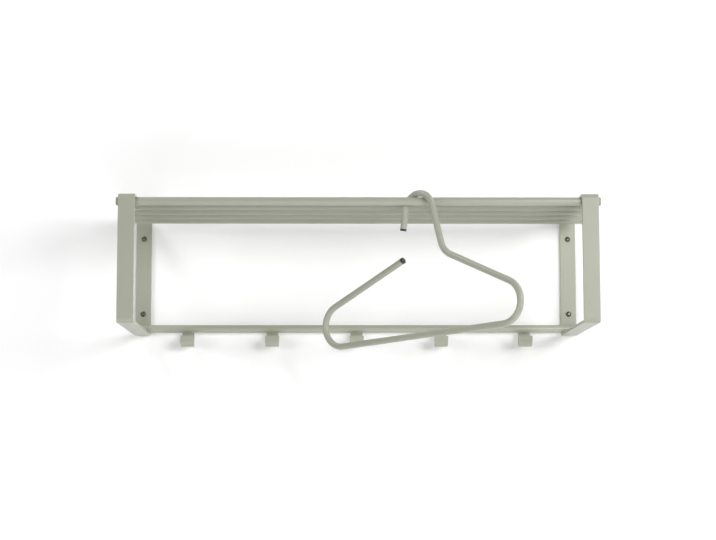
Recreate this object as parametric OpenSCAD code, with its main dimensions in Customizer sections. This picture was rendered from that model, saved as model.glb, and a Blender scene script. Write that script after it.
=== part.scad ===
// Wall coat rack: two flat-bar side frames carry a hat shelf of five round rails
// and a hook rail with five bent strip hooks. A bent-tube hanger hangs on the front rail.
// The wall is the plane Y = 0 and the front faces -Y. The origin is the middle of the four
// wall screws, +Z is up and +X runs to the right along the rack.

/* [Side frames] */
// Width over the two side frames
rack_w = 800; // [740:10:1000]
// Depth from the wall to the front face
rack_d = 290; // [275:5:360]
// Height of a side frame
frame_h = 216; // [190:2:300]
// Width of the flat bar
bar_w = 28; // [22:1:36]
// Thickness of the flat bar
bar_t = 5; // [4:0.5:6]
// Outer radius of the bends in the flat bar
bend_r = 8; // [7:0.5:12]
// Break on the long edges of the flat bar
edge_break = 0.6; // [0.2:0.1:1]

/* [Rails] */
// Outer diameter of the shelf rails and of the hook rail
rail_d = 14; // [12:0.5:16]
// Wall of the rail tube
rail_wall = 1.2; // [1:0.1:2]
// Distance from one shelf rail to the next
rail_pitch = 54; // [46:1:60]
// How far the tube of a shelf rail reaches past the side frame
rail_past = 3; // [1:0.5:6]
// How far the end of the hook rail stays inside the outer face of the side frame
hook_rail_in = 3; // [2:0.5:8]
// Height of the head of a plug in a rail
plug_head = 1.5; // [1:0.25:2.5]
// Length of the stem of a plug
plug_stem = 10; // [6:1:16]

/* [Hooks] */
// Distance from the side frame to the middle of the end hook
hook_inset = 68.5; // [50:0.5:90]
// Thickness of the hook strip
hook_t = 3; // [2:0.5:4]
// Width of the strip where it leaves the rail
neck_w = 21.5; // [16:0.5:23]
// Width of the upturned end at its top
lip_w = 26; // [24:1:32]
// How much narrower the upturned end is at its bottom
lip_taper = 2; // [0:0.5:3]
// Height of the upturned end over the bottom of the hook
lip_h = 19; // [14:1:26]
// Depth of the hook below the hook rail
hook_drop = 26; // [22:0.5:36]
// Reach of the hook from the middle of the rail to its front face
hook_reach = 24; // [23:0.5:44]
// Outer radius of the bends in the hook
hook_bend_r = 9; // [6:0.5:12]
// Radius of the top corners of the upturned end
lip_corner_r = 2; // [1:0.5:4]

/* [Wall screws] */
// Distance from the upper to the lower screw
screw_pitch = 137; // [100:1:160]
// Diameter over the thread of a screw
screw_d = 4; // [3.5:0.5:5]
// Diameter of the plain neck under the head
screw_neck_d = 3; // [2.4:0.1:3.2]
// Clearance of the thread in its hole, all round
screw_gap = 0.5; // [0.3:0.1:1]
// Length of the screw under its head
screw_l = 40; // [25:5:60]
// Diameter of the screw head
head_d = 9.6; // [8:0.2:12]
// Height of the screw head
head_h = 2.8; // [2:0.2:4]

/* [Hanger] */
// Outer diameter of the hanger tube
hanger_d = 11; // [8:0.5:12]
// Wall of the hanger tube
hanger_wall = 1; // [0.8:0.1:1.5]
// Height of the head of a plug in the hanger tube
hanger_plug_head = 3.5; // [1.5:0.5:5]
// Radius of the hook, to the middle of the tube
crook_r = 28.5; // [28:0.5:34]
// Angle at which the two legs of the hook spread
crook_flare = 12.2; // [8:0.2:14]
// Height of the hook down to its open tip
crook_h = 55; // [45:1:70]
// Height from the top of the hook to the bend at the shoulders
stem_h = 104; // [85:1:115]
// Height from the top of the hook to the bottom bar
hanger_h = 238; // [225:1:270]
// Slope of the shoulder that joins the stem
joined_slope = 27.2; // [24:0.1:30]
// Slope of the shoulder with the free end
free_slope = 21.1; // [20:0.1:25]
// Distance from the middle of the hook to the free end of its shoulder
free_end_x = 41; // [30:1:60]
// Height from the top of the hook to the free end of its shoulder
free_end_h = 109; // [105:1:125]
// Radius of the bend between the stem and its shoulder
stem_bend_r = 34; // [18:1:40]
// Radius of the bend at each end of the bottom bar
end_bend_r = 36; // [30:0.5:40]
// Place of the hanger along the front rail
hanger_x = 99; // [-150:1:240]
// How far the hanger is turned about the upright line through its hook
hanger_turn = 41; // [38:1:60]
// How far the hanger leans in its own plane
hanger_lean = 3.5; // [0:0.1:6]

/* [Hidden] */
$fn = 64;
eps = 0.01; // overshoot of a cut
seat_gap = 0.3; // air between the hanger and the rail that carries it
plug_gap = 0.1; // air round the stem of a plug, in its tube
run_in = 1; // how far a bend of the hanger tube runs into its straights
bend_thin = 0.05; // how much thinner the hanger tube is in its bends

rail_r = rail_d / 2;
hanger_r = hanger_d / 2;
frame_x = (rack_w - bar_w) / 2; // middle of a side frame
shelf_z = frame_h / 2 - bar_t - rail_r; // the shelf rails lie under the top bars
front_rail_y = -rack_d + bar_t + rail_r; // the front rail lies against the front legs
hook_rail_y = -bar_t - rail_r; // the hook rail lies against the wall legs
hook_rail_z = -frame_h / 2 + bar_t + rail_r; // and on the bottom bars
shelf_rail_l = rack_w + 2 * rail_past;
hook_rail_l = rack_w - 2 * (hook_rail_in + plug_head);
hook_pitch = (rack_w - 2 * bar_w - 2 * hook_inset) / 4;
hook_rise = hook_drop + rail_r; // from the bottom of a hook to the middle of its rail
hook_bottom_z = hook_rail_z - hook_rise;

steel = "#a9ad9a";
dark_steel = "#3c3d3b";
black = "#1c1c1c";

// Places
function shelf_rail_y(i) = front_rail_y + (i - 1) * rail_pitch;
function hook_x(i) = (i - 3) * hook_pitch;

// Side frames: one flat bar bent into a closed loop
module bar_section() {
  x = bar_t / 2;
  y = bar_w / 2;
  polygon([
    [x, edge_break - y], [x, y - edge_break], [x - edge_break, y], [edge_break - x, y],
    [-x, y - edge_break], [-x, edge_break - y], [edge_break - x, -y], [x - edge_break, -y]
  ]);
}

// The loop lies flat, with its depth along x. Each quarter of a turn is a straight and a bend.
module bar_loop() {
  for (quarter = [0:3]) {
    across = quarter % 2 == 0 ? rack_d : frame_h;
    along = quarter % 2 == 0 ? frame_h : rack_d;
    rotate([0, 0, 90 * quarter]) {
      translate([(across - bar_t) / 2, 0, 0]) rotate([90, 0, 0])
        linear_extrude(along - 2 * bend_r, center = true) bar_section();
      translate([across / 2 - bend_r, along / 2 - bend_r, 0])
        rotate_extrude(angle = 90) translate([bend_r - bar_t / 2, 0]) bar_section();
    }
  }
}

module side_frame(side) {
  color(steel)
    difference() {
      translate([side * frame_x, -rack_d / 2, 0]) rotate([90, 0, 90]) bar_loop();
      for (z = [-1, 1])
        translate([side * frame_x, eps, z * screw_pitch / 2])
          rotate([90, 0, 0]) cylinder(r = screw_d / 2 + screw_gap, h = bar_t + 2 * eps);
    }
}

// Rails: round tubes with a plug in each end
module rail(y, z, l) {
  color(steel)
    translate([0, y, z]) rotate([0, 90, 0])
      difference() {
        cylinder(r = rail_r, h = l, center = true);
        cylinder(r = rail_r - rail_wall, h = l + 2 * eps, center = true);
      }
}

module shelf_rail(i) rail(shelf_rail_y(i), shelf_z, shelf_rail_l);
module hook_rail() rail(hook_rail_y, hook_rail_z, hook_rail_l);

// A plug stands on the end of its tube, with its head outwards along +Z
module plug(outer_r, wall, head) {
  stem_r = outer_r - wall - plug_gap;
  edge_r = plug_head / 2;
  rotate_extrude()
    union() {
      translate([0, -plug_stem + 1]) square([stem_r, plug_stem - 1]);
      polygon([[0, -plug_stem], [stem_r - 0.8, -plug_stem], [stem_r, -plug_stem + 1], [0, -plug_stem + 1]]);
      square([outer_r - edge_r, head]);
      square([outer_r, head - edge_r]);
      translate([outer_r - edge_r, head - edge_r]) intersection() {
        circle(edge_r);
        square(edge_r);
      }
    }
}

module rail_plug(side, y, z, l) {
  color(steel)
    translate([side * l / 2, y, z]) rotate([0, side * 90, 0]) plug(rail_r, rail_wall, plug_head);
}

module shelf_plug(i, side) rail_plug(side, shelf_rail_y(i), shelf_z, shelf_rail_l);
module hook_rail_plug(side) rail_plug(side, hook_rail_y, hook_rail_z, hook_rail_l);

// Hooks: a flat strip that drops from the rail, turns forward and turns up in a wider end.
// The side view is drawn with x along -Y from the middle of the rail and y up from the bottom.
module quarter_bend(r, t) {
  intersection() {
    difference() {
      circle(r);
      circle(r - t);
    }
    translate([-r, -r]) square(r);
  }
}

module hook_side_view() {
  back = -hook_t / 2;
  union() {
    translate([back, hook_bend_r]) square([hook_t, hook_rise - hook_bend_r]);
    translate([back + hook_bend_r, hook_bend_r]) quarter_bend(hook_bend_r, hook_t);
    translate([back + hook_bend_r, 0]) square([hook_reach - back - 2 * hook_bend_r, hook_t]);
    translate([hook_reach - hook_bend_r, hook_bend_r]) mirror([1, 0]) quarter_bend(hook_bend_r, hook_t);
    translate([hook_reach - hook_t, hook_bend_r]) square([hook_t, lip_h - hook_bend_r]);
  }
}

// Seen from above, the strip widens from its neck to its upturned end
module hook_top_view() {
  wide = lip_w / 2;
  narrow = neck_w / 2;
  polygon([
    [-narrow, hook_t], [-narrow, -hook_bend_r], [-wide, -hook_reach + hook_bend_r], [-wide, -hook_reach],
    [wide, -hook_reach], [wide, -hook_reach + hook_bend_r], [narrow, -hook_bend_r], [narrow, hook_t]
  ]);
}

// Seen from the front, the upturned end tapers downwards and has rounded top corners
module hook_front_view() {
  top = lip_w / 2;
  bottom = top - lip_taper / 2;
  difference() {
    polygon([[-bottom, 0], [bottom, 0], [top, lip_h], [top, hook_rise], [-top, hook_rise], [-top, lip_h]]);
    for (x = [-1, 1])
      translate([x * (top - lip_corner_r), lip_h - lip_corner_r]) difference() {
        translate([x < 0 ? -lip_corner_r - 1 : 0, 0]) square([lip_corner_r + 1, lip_corner_r + 1]);
        circle(lip_corner_r);
      }
  }
}

module hook(i) {
  color(steel)
    difference() {
      translate([hook_x(i), hook_rail_y, hook_bottom_z])
        intersection() {
          rotate([90, 0, -90]) linear_extrude(lip_w, center = true) hook_side_view();
          translate([0, 0, -eps]) linear_extrude(hook_rise + 2 * eps) hook_top_view();
          union() {
            rotate([90, 0, 0]) linear_extrude(hook_reach + eps) hook_front_view();
            translate([-neck_w / 2, -hook_bend_r, 0]) cube([neck_w, hook_bend_r + hook_t, hook_rise + eps]);
          }
        }
      translate([hook_x(i), hook_rail_y, hook_rail_z])
        rotate([0, 90, 0]) cylinder(r = rail_r, h = lip_w + 2, center = true);
      translate([hook_x(i) - lip_w, hook_rail_y - rail_r, hook_rail_z]) cube([2 * lip_w, rail_d, rail_d]);
    }
}

// Wall screws: pan heads on the wall legs, plain necks through the legs, threads in the wall
module screw(side, level) {
  slot_w = 1.2;
  slot_l = head_d * 0.55;
  slot_h = head_h * 0.55;
  rim_h = head_h * 0.4;
  dome_h = head_h - rim_h;
  dome_r = (head_d * head_d / 4 + dome_h * dome_h) / (2 * dome_h);
  color(dark_steel)
    translate([side * frame_x, -bar_t, level * screw_pitch / 2]) rotate([90, 0, 0])
      difference() {
        rotate_extrude() union() {
          square([head_d / 2, rim_h]);
          intersection() {
            translate([0, rim_h]) square([head_d / 2, dome_h]);
            translate([0, head_h - dome_r]) circle(dome_r);
          }
          translate([0, -bar_t]) square([screw_neck_d / 2, bar_t]);
          translate([0, -screw_l + screw_d]) square([screw_d / 2, screw_l - screw_d - bar_t]);
          polygon([[0, -screw_l], [screw_d / 2, -screw_l + screw_d], [0, -screw_l + screw_d]]);
        }
        for (a = [0, 90])
          rotate([0, 0, a]) translate([-slot_l / 2, -slot_w / 2, head_h - slot_h]) cube([slot_l, slot_w, head_h]);
      }
}

// Hanger: one tube bent in one plane. Its route is a chain of corner points [x, z], each
// rounded by a bend of its own radius, drawn about the top of the hook.
crook_top = crook_r * (1 / sin(crook_flare) - 1);
tip = [-(crook_top + crook_h) * tan(crook_flare), -crook_h];
stem_foot = [(crook_top + stem_h) * tan(crook_flare), -stem_h];
free_end = [-free_end_x, -free_end_h];
right_corner = [stem_foot[0] + (hanger_h - stem_h) / tan(joined_slope), -hanger_h];
left_corner = [free_end[0] - (hanger_h - free_end_h) / tan(free_slope), -hanger_h];
route = [tip, [0, crook_top], stem_foot, right_corner, left_corner, free_end];
bends = [0, crook_r, stem_bend_r, end_bend_r, end_bend_r, 0];

function heading(a, b) = atan2(b[1] - a[1], b[0] - a[0]);
function wrap(a) = a > 180 ? a - 360 : (a < -180 ? a + 360 : a);
function turn_at(i) = wrap(heading(route[i], route[i + 1]) - heading(route[i - 1], route[i]));
// Length that the bend at corner i takes from each of its two straights
function bend_cut(i) = bends[i] == 0 ? 0 : bends[i] * tan(abs(turn_at(i)) / 2);

// The straights, from the end of one bend to the start of the next. The first and the last
// go on past the open ends of the tube by "past".
module tube_run(r, past) {
  last = len(route) - 2;
  for (i = [0:last]) {
    h = heading(route[i], route[i + 1]);
    start = i == 0 ? -past : bend_cut(i);
    end = i == last ? -past : bend_cut(i + 1);
    translate([route[i][0] + start * cos(h), 0, route[i][1] + start * sin(h)])
      rotate([0, 90 - h, 0]) cylinder(r = r, h = norm(route[i + 1] - route[i]) - start - end);
  }
}

// The bends, a hair thinner than the straights, as a tube is where it is bent. Each runs a
// little way into the straights beside it.
module tube_bends(r) {
  for (i = [1:len(route) - 2]) {
    h = heading(route[i - 1], route[i]);
    turn = turn_at(i);
    side = sign(turn);
    over = run_in / bends[i] * 180 / PI;
    from = route[i] - bend_cut(i) * [cos(h), sin(h)];
    centre = from + side * bends[i] * [-sin(h), cos(h)];
    translate([centre[0], 0, centre[1]]) rotate([90, 0, 0])
      rotate([0, 0, (side > 0 ? h - 90 : h + 90 + turn) - over])
        rotate_extrude(angle = abs(turn) + 2 * over) translate([bends[i], 0]) circle(r - bend_thin);
  }
}

// The lift that keeps the turned hook clear of the rail under it
clear_r = rail_r + hanger_r + seat_gap;
hanger_lift = max([
  for (a = [0:2:180])
    let (
      x = crook_r * cos(a),
      z = crook_r * (sin(a) - 1),
      leaned_x = x * cos(hanger_lean) - z * sin(hanger_lean),
      leaned_z = x * sin(hanger_lean) + z * cos(hanger_lean),
      y = leaned_x * sin(hanger_turn)
    ) leaned_z > -clear_r && abs(y) < clear_r ? sqrt(clear_r * clear_r - y * y) - leaned_z : 0
]);

module hang() {
  translate([hanger_x, front_rail_y, shelf_z + hanger_lift])
    rotate([0, 0, -hanger_turn]) rotate([0, -hanger_lean, 0]) children();
}

module hanger_tube() {
  color(steel)
    hang() difference() {
      union() {
        tube_run(hanger_r, 0);
        tube_bends(hanger_r);
      }
      union() {
        tube_run(hanger_r - hanger_wall, eps);
        tube_bends(hanger_r - hanger_wall);
      }
    }
}

// A plug in the end of the hanger tube, at a corner point and facing along an angle
module hanger_plug(at, facing) {
  color(black)
    hang() translate([at[0], 0, at[1]]) rotate([0, 90 - facing, 0]) plug(hanger_r, hanger_wall, hanger_plug_head);
}

module hanger_crook_plug() hanger_plug(tip, heading([0, crook_top], tip));
module hanger_shoulder_plug() hanger_plug(free_end, heading(left_corner, free_end));

side_frame(-1);  // left_side_frame
side_frame(1);  // right_side_frame
shelf_rail(1);  // front_rail
shelf_rail(2);  // shelf_rail_2
shelf_rail(3);  // shelf_rail_3
shelf_rail(4);  // shelf_rail_4
shelf_rail(5);  // shelf_rail_5
hook_rail();
shelf_plug(1, -1);  // front_rail_left_plug
shelf_plug(1, 1);  // front_rail_right_plug
shelf_plug(2, -1);  // shelf_rail_2_left_plug
shelf_plug(2, 1);  // shelf_rail_2_right_plug
shelf_plug(3, -1);  // shelf_rail_3_left_plug
shelf_plug(3, 1);  // shelf_rail_3_right_plug
shelf_plug(4, -1);  // shelf_rail_4_left_plug
shelf_plug(4, 1);  // shelf_rail_4_right_plug
shelf_plug(5, -1);  // shelf_rail_5_left_plug
shelf_plug(5, 1);  // shelf_rail_5_right_plug
hook_rail_plug(-1);  // hook_rail_left_plug
hook_rail_plug(1);  // hook_rail_right_plug
hook(1);  // hook_1
hook(2);  // hook_2
hook(3);  // hook_3
hook(4);  // hook_4
hook(5);  // hook_5
screw(-1, 1);  // upper_left_screw
screw(-1, -1);  // lower_left_screw
screw(1, 1);  // upper_right_screw
screw(1, -1);  // lower_right_screw
hanger_tube();
hanger_crook_plug();
hanger_shoulder_plug();
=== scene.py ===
import math

import bpy
import numpy as np
from mathutils import Matrix, Vector


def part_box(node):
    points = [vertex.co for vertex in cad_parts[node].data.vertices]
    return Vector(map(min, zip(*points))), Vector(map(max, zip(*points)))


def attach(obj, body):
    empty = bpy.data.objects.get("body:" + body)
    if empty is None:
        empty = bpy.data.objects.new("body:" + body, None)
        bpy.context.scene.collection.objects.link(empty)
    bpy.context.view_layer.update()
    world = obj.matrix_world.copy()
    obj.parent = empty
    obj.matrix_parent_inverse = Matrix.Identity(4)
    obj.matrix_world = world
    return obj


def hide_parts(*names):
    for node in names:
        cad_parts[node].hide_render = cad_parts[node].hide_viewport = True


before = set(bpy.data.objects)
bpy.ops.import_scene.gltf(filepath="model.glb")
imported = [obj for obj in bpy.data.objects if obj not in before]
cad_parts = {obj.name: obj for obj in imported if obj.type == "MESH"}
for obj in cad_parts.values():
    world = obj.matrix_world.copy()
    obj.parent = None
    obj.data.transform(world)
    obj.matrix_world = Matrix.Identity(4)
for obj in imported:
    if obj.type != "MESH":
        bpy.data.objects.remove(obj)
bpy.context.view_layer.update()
print("frame loaded:", len(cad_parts), "solids")


# the place from which the photograph was taken, in metres and radians
photoCamera = {
    "place": (-0.04936, -3.14345, -0.34950),
    "yaw": -0.0167,  # counted to the left
    "pitch": 0.1147,  # counted upwards
    "roll": -0.0015,
    "lens": 87.28,
    "sensor": 36,
    "farthest": 60,
}

studio = {
    "wallGap": 0.0006,  # air between the wall and the backs of the side frames
    "wallSize": (9, 4.6),
    "floorLevel": -1.75,
    "floorSize": 16,
    "wallColour": (0.98, 0.98, 0.98, 1),
    "floorColour": (0.78, 0.78, 0.77, 1),
    "floorGlow": 0.8,  # how pale the floor and the sky look, whatever light they give
    "skyGlow": 0.9,
    "skyLight": 0.01,
    # name: place, point aimed at, width, height, watts
    "softboxes": {
        "keyBox": ((1.9, -2.9, 0.45), (0.1, -0.1, 0), 1.8, 1.0, 62),
        "sideBox": ((3.0, -1.0, 0.5), (0.1, -0.1, 0), 0.8, 0.8, 18),
        "leftStrip": ((-2.5, -2.4, 0.0), (-0.1, -0.1, 0), 1.6, 0.8, 28),
        "lowBox": ((0.3, -2.9, -1.6), (0.1, -0.15, 0), 2.6, 1.0, 24),
        "underBox": ((0.2, -0.7, -1.7), (0.1, -0.15, 0), 2.6, 0.8, 13),
        "topLeftBox": ((-1.7, -0.8, 2.0), (-0.1, -0.1, 0), 0.8, 0.8, 26),
        "topRightBox": ((1.7, -0.8, 2.0), (0.1, -0.1, 0), 0.8, 0.8, 14),
        "backBox": ((0.8, 2.6, 0.6), (0, 0, 0), 2.4, 1.6, 70),
    },
}


def placeCamera(view):
    yaw, pitch, roll = view["yaw"], view["pitch"], view["roll"]
    flat = math.cos(pitch)
    ahead = Vector((-math.sin(yaw) * flat, math.cos(yaw) * flat, math.sin(pitch)))
    level = Vector((math.cos(yaw), math.sin(yaw), 0))
    upright = level.cross(ahead)
    right = math.cos(roll) * level + math.sin(roll) * upright
    up = -math.sin(roll) * level + math.cos(roll) * upright
    data = bpy.data.cameras.new("photoCamera")
    data.lens, data.sensor_width, data.sensor_fit = view["lens"], view["sensor"], "HORIZONTAL"
    data.clip_end = view["farthest"]
    camera = bpy.data.objects.new("photoCamera", data)
    turned = Matrix((right, up, -ahead)).transposed().to_4x4()
    camera.matrix_world = Matrix.Translation(view["place"]) @ turned
    bpy.context.scene.collection.objects.link(camera)
    bpy.context.scene.camera = camera


def addSoftbox(name, place, aim, width, height, watts):
    data = bpy.data.lights.new(name, "AREA")
    data.shape, data.size, data.size_y, data.energy = "RECTANGLE", width, height, watts
    lamp = bpy.data.objects.new(name, data)
    lamp.location = place
    lamp.rotation_euler = (Vector(aim) - Vector(place)).to_track_quat("-Z", "Y").to_euler()
    bpy.context.scene.collection.objects.link(lamp)


class Wire:
    # one output of a node; sums on it add Math nodes
    def __init__(self, tree, socket=None):
        self.tree, self.socket = tree, socket

    def node(self, kind, settings=None, inputs=None, output=0):
        made = self.tree.nodes.new("ShaderNode" + kind)
        for name, value in (settings or {}).items():
            setattr(made, name, value)
        for name, value in (inputs or {}).items():
            if isinstance(value, Wire):
                self.tree.links.new(value.socket, made.inputs[name])
            else:
                made.inputs[name].default_value = value
        return Wire(self.tree, made.outputs[output])

    def math(self, operation, first, second):
        return self.node("Math", {"operation": operation}, {0: first, 1: second})

    def __add__(self, other):
        return self.math("ADD", self, other)

    def __sub__(self, other):
        return self.math("SUBTRACT", self, other)

    def __rsub__(self, other):
        return self.math("SUBTRACT", other, self)

    def __mul__(self, other):
        return self.math("MULTIPLY", self, other)

    __radd__ = __add__
    __rmul__ = __mul__

    def blend(self, low, high):
        # colour between low and high, by this value; 6, 7 and 2 are the node's colour sockets
        return self.node("Mix", {"data_type": "RGBA"}, {"Factor": self, 6: low, 7: high}, 2)

    def between(self, low, high):
        # number between low and high, by this value
        return self * (high - low) + low


def makeMaterial(name, build):
    material = bpy.data.materials.new(name)
    material.use_nodes = True
    tree = material.node_tree
    tree.nodes.clear()
    out = tree.nodes.new("ShaderNodeOutputMaterial")
    tree.links.new(build(Wire(tree)).socket, out.inputs["Surface"])
    return material


powderCoat = {
    "colour": (0.367, 0.38, 0.304, 1),
    "paler": (0.386, 0.399, 0.322, 1),
    "tintShares": (0.7, 0.3),  # of the cloud and the grain
    "roughness": (0.29, 0.39),
    "roughShares": (0.5, 0.5),  # of the cloud and the orange peel
    "specular": 0.6,
    "cloudScale": 7,
    "cloudDetail": 3.0,
    "orangePeelScale": 620,  # lumps about 1.6 mm apart
    "orangePeelDetail": 1.0,
    "orangePeelHeight": 0.00003,
    "grainScale": 2600,
    "grainDetail": 2.0,
    "grainHeight": 0.000012,
}

blackPlastic = {
    "colour": (0.018, 0.018, 0.019, 1),
    "paler": (0.03, 0.03, 0.031, 1),
    "roughness": (0.28, 0.42),
    "grainScale": 3200,
    "grainDetail": 2.0,
    "grainHeight": 0.00003,
}

darkSteel = {
    "colour": (0.062, 0.064, 0.046, 1),
    "paler": (0.15, 0.155, 0.115, 1),
    "recess": (0.46, 0.46, 0.42, 1),  # painted highlight: a lighter colour in the middle of each screw head, standing in for the light that it catches there
    "highlightRadius": (0.0005, 0.0021),
    "centre": (0.386, 0.0685),  # of a screw, to the right and up, from the middle of the rack
    "roughness": (0.26, 0.4),
    "metallic": 0.7,
    "cloudScale": 380,
    "cloudDetail": 3.0,
    "grainScale": 2400,
    "grainDetail": 2.0,
    "grainHeight": 0.00001,
}


def noise(place, scale, detail):
    # cloudy value from 0 to 1, with as many lumps to the metre as scale says
    return place.node("TexNoise", {}, {"Vector": place, "Scale": scale, "Detail": detail})


def raised(height, distance, **under):
    # normal of a skin that stands height times distance over the normal under it
    sockets = {"Height": height, "Distance": distance, "Strength": 1.0}
    return height.node("Bump", {}, {**sockets, **under})


def coatedSteel(wires):
    # cloudy colour, with the shallow dimples of baked powder over a finer grain
    coat = powderCoat
    place = wires.node("TexCoord", output="Object")
    cloud = noise(place, coat["cloudScale"], coat["cloudDetail"])
    peel = noise(place, coat["orangePeelScale"], coat["orangePeelDetail"])
    grain = noise(place, coat["grainScale"], coat["grainDetail"])
    dimples = raised(peel, coat["orangePeelHeight"])
    cloudTint, grainTint = coat["tintShares"]
    cloudRough, peelRough = coat["roughShares"]
    tint = cloud * cloudTint + grain * grainTint
    rough = cloud * cloudRough + peel * peelRough
    return wires.node("BsdfPrincipled", {}, {
        "Base Color": tint.blend(coat["colour"], coat["paler"]),
        "Roughness": rough.between(*coat["roughness"]),
        "Normal": raised(grain, coat["grainHeight"], Normal=dimples),
        "Specular IOR Level": coat["specular"],
    })


def mouldedPlastic(wires):
    place = wires.node("TexCoord", output="Object")
    grain = noise(place, blackPlastic["grainScale"], blackPlastic["grainDetail"])
    return wires.node("BsdfPrincipled", {}, {
        "Base Color": grain.blend(blackPlastic["colour"], blackPlastic["paler"]),
        "Roughness": grain.between(*blackPlastic["roughness"]),
        "Normal": raised(grain, blackPlastic["grainHeight"]),
    })


def blackenedSteel(wires):
    place = wires.node("TexCoord", output="Object")
    cloud = noise(place, darkSteel["cloudScale"], darkSteel["cloudDetail"])
    grain = noise(place, darkSteel["grainScale"], darkSteel["grainDetail"])
    # the screws mirror each other across and up, so one distance does for all four: the root of
    # the sum of the squares of the ways across and up from a screw's middle
    apart = wires.node("VectorMath", {"operation": "ABSOLUTE"}, {0: place})
    across = wires.node("SeparateXYZ", {}, {0: apart}, "X") - darkSteel["centre"][0]
    up = wires.node("SeparateXYZ", {}, {0: apart}, "Z") - darkSteel["centre"][1]
    spread = wires.math("POWER", across * across + up * up, 0.5)
    # painted highlight: each head's colour turns lighter towards its middle, in place of the glint
    # of light there
    low, high = darkSteel["highlightRadius"]
    paintedHighlight = wires.node("MapRange", {}, {"Value": spread, "From Min": high, "From Max": low})
    black = cloud.blend(darkSteel["colour"], darkSteel["paler"])
    return wires.node("BsdfPrincipled", {}, {
        "Base Color": paintedHighlight.blend(black, darkSteel["recess"]),
        "Roughness": cloud.between(*darkSteel["roughness"]),
        "Metallic": darkSteel["metallic"],
        "Normal": raised(grain, darkSteel["grainHeight"]),
    })


def plasteredWall(wires):
    # seen from in front alone, so that the back of the rack can be looked at
    front = wires.node("BsdfDiffuse", {}, {"Color": studio["wallColour"]})
    clear = wires.node("BsdfTransparent")
    behind = wires.node("NewGeometry", output="Backfacing")
    return wires.node("MixShader", {}, {0: behind, 1: front, 2: clear})


def plainFloor(wires):
    # evenly pale to look at, and to everything else a matt sheet
    colour = studio["floorColour"]
    matt = wires.node("BsdfDiffuse", {}, {"Color": colour})
    pale = wires.node("Emission", {}, {"Color": colour, "Strength": studio["floorGlow"]})
    seen = wires.node("LightPath", output="Is Camera Ray")
    return wires.node("MixShader", {}, {0: seen, 1: matt, 2: pale})


sageCoat = makeMaterial("sagePowderCoat", coatedSteel)
plugBlack = makeMaterial("blackPlug", mouldedPlastic)
screwSteel = makeMaterial("darkScrew", blackenedSteel)
print("finishes made")


def addSheet(name, corners, build):
    mesh = bpy.data.meshes.new(name)
    mesh.from_pydata(corners, [], [(0, 1, 2, 3)])
    mesh.materials.append(makeMaterial(name, build))
    sheet = bpy.data.objects.new(name, mesh)
    bpy.context.scene.collection.objects.link(sheet)
    return sheet


placeCamera(photoCamera)
for name, box in studio["softboxes"].items():
    addSoftbox(name, *box)

halfWall, wallHeight = studio["wallSize"][0] / 2, studio["wallSize"][1]
wallY, floorZ, halfFloor = studio["wallGap"], studio["floorLevel"], studio["floorSize"] / 2
wallTop = floorZ + wallHeight
wall = addSheet("wall", [(-halfWall, wallY, floorZ), (halfWall, wallY, floorZ),
                         (halfWall, wallY, wallTop), (-halfWall, wallY, wallTop)], plasteredWall)
# the wall catches shadows and is mirrored in the coat, but neither shades nor lights the rack
wall.visible_diffuse = wall.visible_shadow = False
addSheet("floor", [(-halfFloor, -halfFloor, floorZ), (halfFloor, -halfFloor, floorZ),
                   (halfFloor, halfFloor, floorZ), (-halfFloor, halfFloor, floorZ)], plainFloor)

world = bpy.data.worlds.new("paleRoom")
world.use_nodes = True
air = Wire(world.node_tree)
seen = air.node("LightPath", output="Is Camera Ray")
brightness = seen.between(studio["skyLight"], studio["skyGlow"])
sky = air.tree.nodes["Background"]
air.tree.links.new(brightness.socket, sky.inputs["Strength"])
sky.inputs["Color"].default_value = (1, 1, 1, 1)
bpy.context.scene.world = world
bpy.context.scene.view_settings.view_transform = "Standard"
print("studio set")


sharpAngle = math.radians(38)  # an edge that turns by more than this stays crisp


def gridFaces(grid, along):
    # grid[i, j] is a point: i runs along the piece and j round it. Open ends get a flat cap,
    # and the faces are turned outwards where the volume that they close comes out negative.
    rows, cols = grid.shape[:2]
    i = np.arange(rows if along else rows - 1)[:, None]
    j = np.arange(cols)[None, :]
    nextI, nextJ = (i + 1) % rows, (j + 1) % cols
    quads = np.stack([i * cols + j, i * cols + nextJ, nextI * cols + nextJ, nextI * cols + j], -1)
    quads = quads.reshape(-1, 4)
    about = grid.reshape(-1, 3) - grid.reshape(-1, 3).mean(0)
    a, b, c, d = (about[quads[:, k]] for k in range(4))
    turned = (np.cross(a, b) * c).sum() + (np.cross(a, c) * d).sum() < 0
    if turned:
        quads = quads[:, ::-1]
    faces = quads.tolist()
    if not along:
        first, last = list(range(cols)), list(range((rows - 1) * cols, rows * cols))
        faces += [first, last[::-1]] if turned else [first[::-1], last]
    return faces


def smoothFaces(mesh):
    mesh.shade_smooth()
    mesh.set_sharp_from_angle(angle=sharpAngle)


def addPiece(name, grids, material, body, along=False):
    # one mesh of one or more grids; along closes each grid end to end
    points, faces = [], []
    for grid in grids if isinstance(grids, list) else [grids]:
        faces += [[corner + len(points) for corner in face] for face in gridFaces(grid, along)]
        points += grid.reshape(-1, 3).tolist()
    mesh = bpy.data.meshes.new(name)
    mesh.from_pydata(points, [], faces)
    smoothFaces(mesh)
    mesh.materials.append(material)
    piece = bpy.data.objects.new(name, mesh)
    bpy.context.scene.collection.objects.link(piece)
    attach(piece, body)
    return piece


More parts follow.
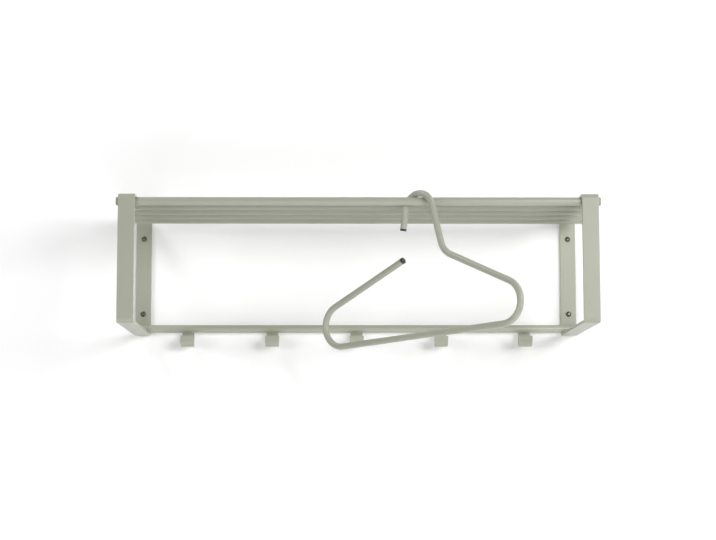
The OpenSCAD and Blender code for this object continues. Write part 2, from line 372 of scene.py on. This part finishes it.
def barOutline(width, thick, edge, steps=4, hold=0.0006):
    # outline of a flat bar: four quarter circles of the edge's radius, each with a point a little
    # way along the flat on both sides, which keeps the flats flat in the light
    turn = np.linspace(0, math.pi / 2, steps + 1)
    out = []
    for corner, (sx, sy) in enumerate([(1, 1), (-1, 1), (-1, -1), (1, -1)]):
        angle = turn + corner * math.pi / 2
        arc = np.stack([np.cos(angle), np.sin(angle)], -1) * edge
        before = arc[:1] - hold * np.array([[-np.sin(angle[0]), np.cos(angle[0])]])
        after = arc[-1:] + hold * np.array([[-np.sin(angle[-1]), np.cos(angle[-1])]])
        ring = np.concatenate([before, arc, after])
        out.append(ring + np.array([sx * (width / 2 - edge), sy * (thick / 2 - edge)]))
    return np.concatenate(out)


def carry(path, side, up, across, over):
    # each point of the path, plus "across" times its side vector and "over" times its up vector
    return (path[:, None, :] + across[..., None] * side[:, None, :]
            + over[..., None] * up[:, None, :])


def revolve(foot, axis, radii, heights, steps=48):
    # point = foot + height along the axis + radius along a spoke, and spoke = cosine of the angle
    # times one direction across the axis + sine times the other
    axis = np.array(axis, float)
    u = np.cross(axis, [0, 0, 1] if abs(axis[2]) < 0.9 else [1, 0, 0])
    u /= np.linalg.norm(u)
    v = np.cross(axis, u)
    angle = np.linspace(0, 2 * math.pi, steps, endpoint=False)
    spoke = np.cos(angle)[:, None] * u + np.sin(angle)[:, None] * v
    radii, heights = np.asarray(radii, float), np.asarray(heights, float)
    return np.array(foot) + heights[:, None, None] * axis + radii[:, None, None] * spoke


sideFrame = {
    "barThick": 0.005,
    "bendRadius": 0.008,  # on the outside
    "bendSteps": 12,
    "straightHold": 0.0015,  # from a bend to the next ring of points
    "edgeRadius": 0.0007,
    "screwHole": 0.0025,
    "screwPitch": 0.137,
}


def frameLoop(low, high, form):
    # the middle line of the bar: a rectangle in the side plane with a quarter circle at each
    # corner, point = centre of the bend + radius times the cosine and the sine of the angle
    thick = form["barThick"]
    radius = form["bendRadius"] - thick / 2
    middle = (low + high) / 2
    half = (high - low)[1:] / 2 - thick / 2 - radius
    turn = np.linspace(0, math.pi / 2, form["bendSteps"] + 1)
    path, out = [], []
    for corner, (sy, sz) in enumerate([(1, 1), (-1, 1), (-1, -1), (1, -1)]):
        angle = turn + corner * math.pi / 2
        normal = np.stack([0 * angle, np.cos(angle), np.sin(angle)], -1)
        tangent = np.stack([0 * angle, -np.sin(angle), np.cos(angle)], -1)
        arc = middle + [0, sy * half[0], sz * half[1]] + radius * normal
        hold = form["straightHold"]
        path += [arc[:1] - hold * tangent[:1], arc, arc[-1:] + hold * tangent[-1:]]
        out += [normal[:1], normal, normal[-1:]]
    return np.concatenate(path), np.concatenate(out)


def cutHoles(piece, centres, radius, depth):
    # screw holes through the wall leg
    for place in centres:
        grid = revolve(place, (0, 1, 0), [radius, radius], [-depth, depth])
        cutter = addPiece(piece.name + "_cutter", grid, sageCoat, "rack")
        hole = piece.modifiers.new("screwHole", "BOOLEAN")
        hole.operation, hole.solver, hole.object = "DIFFERENCE", "EXACT", cutter
        bpy.context.view_layer.update()
        cutPiece = piece.evaluated_get(bpy.context.evaluated_depsgraph_get())
        cut = bpy.data.meshes.new_from_object(cutPiece)
        piece.modifiers.clear()
        piece.data = cut
        bpy.data.objects.remove(cutter)
    smoothFaces(piece.data)


for side in ("left", "right"):
    low, high = (np.array(corner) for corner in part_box(side + "_side_frame"))
    path, out = frameLoop(low, high, sideFrame)
    outline = barOutline(high[0] - low[0], sideFrame["barThick"], sideFrame["edgeRadius"])
    across = np.tile(outline[:, 0], (len(path), 1))
    over = np.tile(outline[:, 1], (len(path), 1))
    grid = carry(path, np.tile([1.0, 0, 0], (len(path), 1)), out, across, over)
    piece = addPiece(side + "_frame_bar", grid, sageCoat, "rack", along=True)
    middleX = (low[0] + high[0]) / 2
    cutHoles(piece, [(middleX, 0, level * sideFrame["screwPitch"] / 2) for level in (1, -1)],
             sideFrame["screwHole"], 2 * sideFrame["barThick"])
    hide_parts(side + "_side_frame")
print("side frames made")


railForm = {
    "wall": 0.0012,
    "endRound": 0.0003,
    "steps": 64,
}

plugForm = {
    "stemGap": 0.0001,
    "stemChamfer": 0.0009,
    "headRound": 0.00075,
    "headSteps": 8,
    "dimple": 0.0016,  # radius
    "dimpleDepth": 0.0003,
    "dimpleSteps": 7,
    "dimpleFlat": 0.06,  # radius of its flat middle, as a share of its own
}


def tubeProfile(outer, inner, start, end, edge, steps=4):
    # closed outline of a tube's wall as radii and heights, with a quarter circle of the edge's
    # radius at each of its four corners
    turn = np.linspace(0, math.pi / 2, steps)
    soft = edge * (1 - np.cos(turn))
    radii = np.concatenate([outer - edge + edge * np.sin(turn), outer - soft,
                            inner + edge - edge * np.sin(turn), inner + soft])
    heights = np.concatenate([start + soft, end - edge + edge * np.sin(turn),
                              end - soft, start + edge - edge * np.sin(turn)])
    return radii, heights


def plugProfile(outer, wall, stem, head, form):
    # from the tip of the stem out to the rounded head, with a shallow moulded dimple in its
    # middle, which rises with the square of the radius
    stemRadius = outer - wall - form["stemGap"]
    turn = np.linspace(0, math.pi / 2, form["headSteps"])
    edge = form["headRound"]
    bowl = np.linspace(1, form["dimpleFlat"], form["dimpleSteps"])
    radii = np.concatenate([[stemRadius - form["stemChamfer"], stemRadius, stemRadius], [outer],
                            outer - edge + edge * np.cos(turn), form["dimple"] * bowl])
    heights = np.concatenate([[-stem, -stem + form["stemChamfer"], 0], [0],
                              head - edge + edge * np.sin(turn),
                              head - form["dimpleDepth"] * (1 - bowl ** 2)])
    return radii, heights


railNodes = ["front_rail"] + ["shelf_rail_%d" % i for i in range(2, 6)] + ["hook_rail"]
for node in railNodes:
    low, high = (np.array(corner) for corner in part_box(node))
    middle, radius = (low + high) / 2, (high[2] - low[2]) / 2
    profile = tubeProfile(radius, radius - railForm["wall"], low[0], high[0], railForm["endRound"])
    grid = revolve((0, middle[1], middle[2]), (1, 0, 0), *profile, steps=railForm["steps"])
    piece = addPiece(node + "_tube", grid, sageCoat, "rack", along=True)
    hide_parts(node)
    for side, end, facing in (("left", low[0], -1), ("right", high[0], 1)):
        plugLow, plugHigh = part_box(node + "_" + side + "_plug")
        head = (plugHigh[0] - end) if facing > 0 else (end - plugLow[0])
        stem = (end - plugLow[0]) if facing > 0 else (plugHigh[0] - end)
        profile = plugProfile(radius, railForm["wall"], stem, head, plugForm)
        grid = revolve((end, middle[1], middle[2]), (facing, 0, 0), *profile)
        piece = addPiece(node + "_" + side + "_cap", grid, sageCoat, "rack")
        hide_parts(node + "_" + side + "_plug")
print("rails and plugs made")


hookForm = {
    "thick": 0.003,
    "neckWidth": 0.0215,
    "bendRadius": 0.009,  # on the outside
    "lipBottom": 0.024,  # width where the lip begins
    "lipWidth": 0.026,  # width at its top
    "lipHeight": 0.019,
    "lipCorner": 0.002,
    "lipStart": 0.001,  # from the bend to the next ring of points
    "lipFront": 0.01,  # only the lip lies this far in front of the rail's middle
    "edgeRadius": 0.0006,
    "edgeHold": 0.0003,
    "intoRail": 0.0004,
    "neckPoints": 4,
    "bendSteps": 10,
    "runPoints": 6,
    "cornerSteps": 9,
}


def hookLine(low, railMiddle, railRadius, form):
    # side view of the strip's middle line: down from the rail, a quarter turn forward, a run,
    # a quarter turn up, and the upturned end. The width grows evenly with the way forward and
    # again with the height of the lip, less what the quarter circles of its corners take off.
    thick = form["thick"]
    radius = form["bendRadius"] - thick / 2
    back, front = railMiddle[1], low[1] + thick / 2
    bottom, lipTop = low[2] + thick / 2, low[2] + form["lipHeight"]
    start = railMiddle[2] - railRadius + form["intoRail"]
    turn = np.linspace(0, math.pi / 2, form["bendSteps"])
    neckZ = np.linspace(start, bottom + radius, form["neckPoints"] + 1)[:-1]
    down = np.stack([np.full(len(neckZ), back), neckZ], -1)
    firstBend = np.stack([back - radius + radius * np.cos(turn),
                          bottom + radius - radius * np.sin(turn)], -1)
    runY = np.linspace(back - radius, front + radius, form["runPoints"] + 2)[1:-1]
    run = np.stack([runY, np.full(len(runY), bottom)], -1)
    secondBend = np.stack([front + radius - radius * np.sin(turn),
                           bottom + radius - radius * np.cos(turn)], -1)
    corner = form["lipCorner"]
    cornerTurn = np.linspace(0, math.pi / 2, form["cornerSteps"])
    rise = np.concatenate([[bottom + radius + form["lipStart"]],
                           lipTop - corner * np.cos(cornerTurn)])
    up = np.stack([np.full(len(rise), front), rise], -1)
    line = np.concatenate([down, firstBend, run, secondBend, up])
    step = np.gradient(line, axis=0)
    step[:len(neckZ)], step[-len(rise):] = [0, -1], [0, 1]
    step /= np.linalg.norm(step, axis=1)[:, None]
    widen = np.clip((back - radius - line[:, 0]) / (back - front - 2 * radius), 0, 1)
    width = form["neckWidth"] + (form["lipBottom"] - form["neckWidth"]) * widen
    lip = np.clip((line[:, 1] - bottom) / (lipTop - bottom), 0, 1) * (widen >= 1)
    width += (form["lipWidth"] - form["lipBottom"]) * lip
    past = np.clip(line[:, 1] - (lipTop - corner), 0, corner) * (widen >= 1)
    width -= 2 * (corner - np.sqrt(corner ** 2 - past ** 2))
    return line, step, width


railLow, railHigh = (np.array(corner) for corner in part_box("hook_rail"))
railMiddle, railRadius = (railLow + railHigh) / 2, (railHigh[2] - railLow[2]) / 2
for number in range(1, 6):
    low, high = (np.array(corner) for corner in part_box("hook_%d" % number))
    line, step, width = hookLine(low, railMiddle, railRadius, hookForm)
    count, edge = len(line), hookForm["edgeRadius"]
    path = np.column_stack([np.full(count, (low[0] + high[0]) / 2), line])
    out = np.column_stack([np.zeros(count), -step[:, 1], step[:, 0]])
    outline = barOutline(0, hookForm["thick"], edge, hold=hookForm["edgeHold"])
    across = np.repeat([1, -1, -1, 1], len(outline) // 4) * width[:, None] / 2 + outline[:, 0]
    over = np.tile(outline[:, 1], (count, 1))
    # the top of the lip, as deep as its edge radius, rounds off towards the middle of the strip
    ease = np.clip((line[:, 1] - (low[2] + hookForm["lipHeight"] - edge)) / edge, 0, 1)
    ease = ease * (line[:, 0] < railMiddle[1] - hookForm["lipFront"])
    thin = 1 - (1 - np.sqrt(1 - ease ** 2)) * 2 * edge / hookForm["thick"]
    grid = carry(path, np.tile([1.0, 0, 0], (count, 1)), out, across, over * thin[:, None])
    piece = addPiece("hook_%d_strip" % number, grid, sageCoat, "rack")
    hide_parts("hook_%d" % number)
print("hooks made")


weldForm = {
    "railLength": 0.0215,
    "railReach": 0.0052,  # from the touch to the foot on the flat
    "railClimb": 33,  # degrees round the rail, from the touch to the foot on it
    "hookLength": 0.018,
    "hookReach": 0.0017,
    "hookClimb": 31,
    "sink": 0.00015,
    "bulge": 0.0001,
    "bulgeSteps": 7,
    "pitch": 0.0017,  # from ripple to ripple
    "pitchSteps": 8,
    "ripple": 0.035,
    "taper": 0.0022,
    "tipSize": 0.04,  # square of the size at both ends
}


def weldBead(inner, low, high, middleX, length, form):
    # section in the side plane: from the hidden corner "inner" to a foot on each of the two parts,
    # joined by a slightly full curve. Along the bead, size = 1 plus a wave of the ripples, and it
    # falls off as a quarter circle at both ends.
    inner, low, high = (np.array(point, float) for point in (inner, low, high))
    share = np.linspace(0, 1, form["bulgeSteps"])[:, None]
    curve = low + share * (high - low)
    outwards = (low + high) / 2 - inner
    fullness = 4 * share * (1 - share) * form["bulge"]
    curve = curve + fullness * outwards / np.linalg.norm(outwards)
    section = np.concatenate([[inner], curve])
    x = np.linspace(-length / 2, length / 2, int(length / form["pitch"] * form["pitchSteps"]))
    end = np.clip((length / 2 - abs(x)) / form["taper"], 0, 1)
    tip = form["tipSize"]
    wave = 1 + form["ripple"] * np.cos(2 * math.pi * x / form["pitch"])
    size = wave * np.sqrt(tip + (1 - tip) * (1 - (1 - end) ** 2))
    side = inner + size[:, None, None] * (section - inner)
    across = np.broadcast_to((middleX + x)[:, None, None], side.shape[:2] + (1,))
    return np.concatenate([across, side], -1)


def crevice(middle, radius, towards, side, form):
    # where a rail touches a flat: towards points from the rail's middle to the flat, side along
    # it. One foot lies on the flat, the other on the rail, at the climb's angle from the touch.
    towards, side = np.array(towards, float), np.array(side, float)
    climb = math.radians(form["railClimb"])
    inner = middle + radius * towards
    low = inner + form["railReach"] * side + form["sink"] * towards
    spoke = math.cos(climb) * towards + math.sin(climb) * side
    high = middle + (radius - form["sink"]) * spoke
    return inner, low, high


# towards and side of each bead; a rail that isn't named has one on each side under the top bar
railContacts = {
    "front_rail": [((0, 1), (1, 0)), ((-1, 0), (0, -1))],
    "hook_rail": [((1, 0), (0, 1)), ((0, -1), (-1, 0))],
}
underTopBar = [((0, 1), (1, 0)), ((0, 1), (-1, 0))]
beads = []
for node in railNodes:
    low, high = (np.array(corner)[1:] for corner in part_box(node))
    for side in ("left", "right"):
        frameLow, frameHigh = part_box(side + "_side_frame")
        middleX = (frameLow[0] + frameHigh[0]) / 2
        for towards, away in railContacts.get(node, underTopBar):
            section = crevice((low + high) / 2, (high - low)[1] / 2, towards, away, weldForm)
            beads.append(weldBead(*section, middleX, weldForm["railLength"], weldForm))
addPiece("rail_weld_beads", beads, sageCoat, "rack")

beads = []
climb, sink = math.radians(weldForm["hookClimb"]), weldForm["sink"]
halfThick = hookForm["thick"] / 2
entry = railMiddle[2] - math.sqrt(railRadius ** 2 - halfThick ** 2)  # where a strip meets the rail
for number in range(1, 6):
    low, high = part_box("hook_%d" % number)
    middleX = (low[0] + high[0]) / 2
    for facing in (-1, 1):
        skin = railMiddle[1] + facing * halfThick - facing * sink
        corner, foot = (skin, entry + sink), (skin, entry - weldForm["hookReach"])
        spoke = np.array([facing * math.sin(climb), -math.cos(climb)])
        top = railMiddle[1:] + (railRadius - sink) * spoke
        beads.append(weldBead(corner, foot, top, middleX, weldForm["hookLength"], weldForm))
addPiece("hook_weld_beads", beads, sageCoat, "rack")
print("welds made")


screwForm = {
    "crownWall": 0.0009,
    "crownPowers": (2.4, 0.7),
    "innerRings": (0.02, 0.72, 22),  # first and last share of the radius, and how many
    "outerRings": (0.75, 1, 10),
    "headSides": 96,
    "recessLength": 0.0052,
    "recessWidth": 0.0012,
    "recessDepth": 0.0016,
    "recessLean": 0.00012,  # how wide its leaning side walls are
    "recessFall": 2.2,  # how many times sooner than in its middle it is at full depth
    "neck": 0.0015,
    "shoulder": 0.0001,
    "crest": 0.002,
    "root": 0.00135,
    "threadPitch": 0.0018,
    "threadFoot": 0.24,  # half of a ridge's foot, as a share of the pitch
    "point": 0.0045,
    "pointPower": 0.8,
    "pointTip": 0.03,
    "ringStep": 0.00018,
    "shankSides": 40,
}


def screwHead(seat, radius, height, form):
    # a low dome over a short wall, less a cross recess that gets shallower towards its ends.
    # Dome = wall + rest of the height times (1 - share of the radius ^ one power) ^ the other.
    share = np.concatenate([np.linspace(*form["innerRings"]), np.linspace(*form["outerRings"])])
    angle = np.linspace(0, 2 * math.pi, form["headSides"], endpoint=False)
    r, a = np.meshgrid(share * radius, angle, indexing="ij")
    x, z = r * np.cos(a), r * np.sin(a)
    wall, (first, second) = form["crownWall"], form["crownPowers"]
    dome = wall + (height - wall) * (1 - (r / radius) ** first) ** second
    near, far = np.minimum(abs(x), abs(z)), np.maximum(abs(x), abs(z))
    halfWidth, halfLength = form["recessWidth"] / 2, form["recessLength"] / 2
    inside = np.clip((halfWidth - near) / form["recessLean"] + 0.5, 0, 1)
    slope = np.clip((halfLength - far) / halfLength * form["recessFall"], 0, 1)
    top = dome - form["recessDepth"] * inside * slope
    crown = np.stack([x, -top, z], -1)
    skirt = crown[-1:] * [1, 0, 1]
    return np.array(seat) + np.concatenate([crown, skirt])


def screwShank(seat, plain, length, form):
    # radius = plain neck through the bar, then root plus a wave of the thread that winds once for
    # each pitch, then a point
    depth = np.concatenate([[0.0, plain - form["shoulder"]],
                            np.arange(plain, length, form["ringStep"]), [length]])
    angle = np.linspace(0, 2 * math.pi, form["shankSides"], endpoint=False)
    h, a = np.meshgrid(depth, angle, indexing="ij")
    phase = (h / form["threadPitch"] - a / (2 * math.pi)) % 1
    ridge = np.clip(1 - abs(phase - 0.5) / form["threadFoot"], 0, 1)
    fade = np.clip((h - plain) / form["threadPitch"], 0, 1)
    body = form["neck"] + (form["root"] - form["neck"]) * fade
    r = body + (form["crest"] - form["root"]) * ridge * fade
    r = r * np.clip((length - h) / form["point"], form["pointTip"], 1) ** form["pointPower"]
    return np.array(seat) + np.stack([r * np.cos(a), h, r * np.sin(a)], -1)


for name in ("upper_left", "lower_left", "upper_right", "lower_right"):
    low, high = (np.array(corner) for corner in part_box(name + "_screw"))
    seat = np.array([(low[0] + high[0]) / 2, -sideFrame["barThick"], (low[2] + high[2]) / 2])
    head = screwHead(seat, (high[0] - low[0]) / 2, seat[1] - low[1], screwForm)
    piece = addPiece(name + "_screw_head", head, screwSteel, "rack")
    shank = screwShank(seat, sideFrame["barThick"], high[1] - seat[1], screwForm)
    addPiece(name + "_screw_thread", shank, screwSteel, "rack")
    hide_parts(name + "_screw")
print("screws made")


# metres and degrees, on the tube's middle line
hangerForm = {
    "radius": 0.00545,
    "wall": 0.001,
    "crookRadius": 0.0285,
    "crookFlare": 12.2,
    "crookHeight": 0.055,
    "stemHeight": 0.104,
    "stemBend": 0.034,
    "height": 0.2377,
    "joinedSlope": 27.2,
    "freeSlope": 21.1,
    "freeEnd": (0.041, 0.109),
    "endBend": 0.036,
    "turn": 41,
    "lean": 3.5,
    "along": 0.099,
    "settle": 0.0002,  # how much lower the top of the tube lies than in the solids
    "plugHead": 0.0035,
    "plugStem": 0.010,
    "around": 40,
    "step": 0.0012,  # from ring to ring in a bend
}


def hangerRoute(form):
    # corner points of the tube's middle line in the hanger's own plane, with the radius of each
    # bend. The run of a shoulder = its rise over the tangent of its slope.
    flare = math.radians(form["crookFlare"])
    peak = form["crookRadius"] * (1 / math.sin(flare) - 1)
    tip = (-(peak + form["crookHeight"]) * math.tan(flare), -form["crookHeight"])
    foot = ((peak + form["stemHeight"]) * math.tan(flare), -form["stemHeight"])
    freeEnd = (-form["freeEnd"][0], -form["freeEnd"][1])
    joinedRise, freeRise = form["height"] - form["stemHeight"], form["height"] - form["freeEnd"][1]
    right = (foot[0] + joinedRise / math.tan(math.radians(form["joinedSlope"])), -form["height"])
    left = (freeEnd[0] - freeRise / math.tan(math.radians(form["freeSlope"])), -form["height"])
    corners = np.array([tip, (0, peak), foot, right, left, freeEnd])
    return corners, [0, form["crookRadius"], form["stemBend"], form["endBend"], form["endBend"], 0]


def roundCorners(corners, bends, step):
    # straights joined by arcs that touch both of their neighbours, so that an arc starts its radius
    # times the tangent of half the turn before the corner; returns points and directions
    points, ways = [corners[:1]], [corners[1:2] - corners[:1]]
    for before, corner, after, radius in zip(corners[:-2], corners[1:-1], corners[2:], bends[1:-1]):
        a = (corner - before) / np.linalg.norm(corner - before)
        b = (after - corner) / np.linalg.norm(after - corner)
        turn = math.atan2(a[0] * b[1] - a[1] * b[0], a @ b)
        normal = np.array([-a[1], a[0]]) * np.sign(turn)
        start = corner - a * radius * math.tan(abs(turn) / 2)
        angle = np.linspace(0, abs(turn), int(abs(turn) * radius / step) + 2)[:, None]
        points.append(start + radius * (np.sin(angle) * a + (1 - np.cos(angle)) * normal))
        ways.append(np.cos(angle) * a + np.sin(angle) * normal)
    points.append(corners[-1:])
    ways.append(corners[-1:] - corners[-2:-1])
    ways = np.concatenate(ways)
    return np.concatenate(points), ways / np.linalg.norm(ways, axis=1)[:, None]


def hangUp(flat, form):
    # from the hanger's plane to the rack: leant in that plane, then turned about the upright line
    lean, turn = math.radians(form["lean"]), math.radians(form["turn"])
    x = flat[:, 0] * math.cos(lean) - flat[:, 1] * math.sin(lean)
    z = flat[:, 0] * math.sin(lean) + flat[:, 1] * math.cos(lean)
    return np.stack([x * math.cos(turn), -x * math.sin(turn), z], -1)


corners, bends = hangerRoute(hangerForm)
flat, flatWays = roundCorners(corners, bends, hangerForm["step"])
path, ways = hangUp(flat, hangerForm), hangUp(flatWays, hangerForm)
frontLow, frontHigh = (np.array(corner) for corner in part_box("front_rail"))
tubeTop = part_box("hanger_tube")[1][2]
top = tubeTop - hangerForm["settle"] - hangerForm["radius"]
path += [hangerForm["along"], (frontLow[1] + frontHigh[1]) / 2, top - path[:, 2].max()]
turn = math.radians(hangerForm["turn"])
facing = np.array([math.sin(turn), math.cos(turn), 0])
outwards = np.cross(ways, facing)
# out along the outside and back along the bore
there = np.concatenate([path, path[::-1]])
radii = np.repeat([hangerForm["radius"], hangerForm["radius"] - hangerForm["wall"]], len(path))
angle = np.linspace(0, 2 * math.pi, hangerForm["around"], endpoint=False)
grid = carry(there, np.tile(facing, (len(there), 1)), np.concatenate([outwards, outwards[::-1]]),
             radii[:, None] * np.cos(angle), radii[:, None] * np.sin(angle))
piece = addPiece("hanger_bent_tube", grid, sageCoat, "hanger", along=True)
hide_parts("hanger_tube")
profile = plugProfile(hangerForm["radius"], hangerForm["wall"], hangerForm["plugStem"],
                      hangerForm["plugHead"], plugForm)
for name, place, way in (("crook", path[0], -ways[0]), ("shoulder", path[-1], ways[-1])):
    grid = revolve(place, way, *profile)
    piece = addPiece("hanger_%s_cap" % name, grid, plugBlack, "hanger")
    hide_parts("hanger_%s_plug" % name)
print("hanger made")
